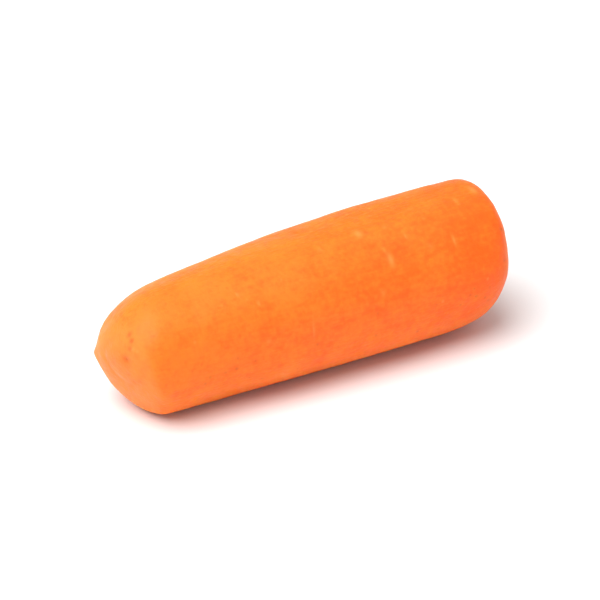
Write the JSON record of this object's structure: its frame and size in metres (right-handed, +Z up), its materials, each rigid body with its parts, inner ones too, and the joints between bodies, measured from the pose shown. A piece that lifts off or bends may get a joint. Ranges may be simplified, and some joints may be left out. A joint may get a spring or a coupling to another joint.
{
  "type": "baby-cut carrot",
  "caption": "Short orange carrot piece, slightly tapered, sawn at both ends and tumbled smooth, with rounded corners; it lies on its side.",
  "frame": {"origin": "middle of the footprint, on the surface that the carrot lies on", "axes": "+X along the carrot from its narrow end to its thick end, +Z up, -Y the front that the narrow face turns towards"},
  "size_m": [0.0544, 0.0188, 0.0184],
  "materials": {
    "carrot_flesh": "satin"
  },
  "bodies": {
    "root": {"carrot": "carrot_flesh"}
  },
  "joints": []
}
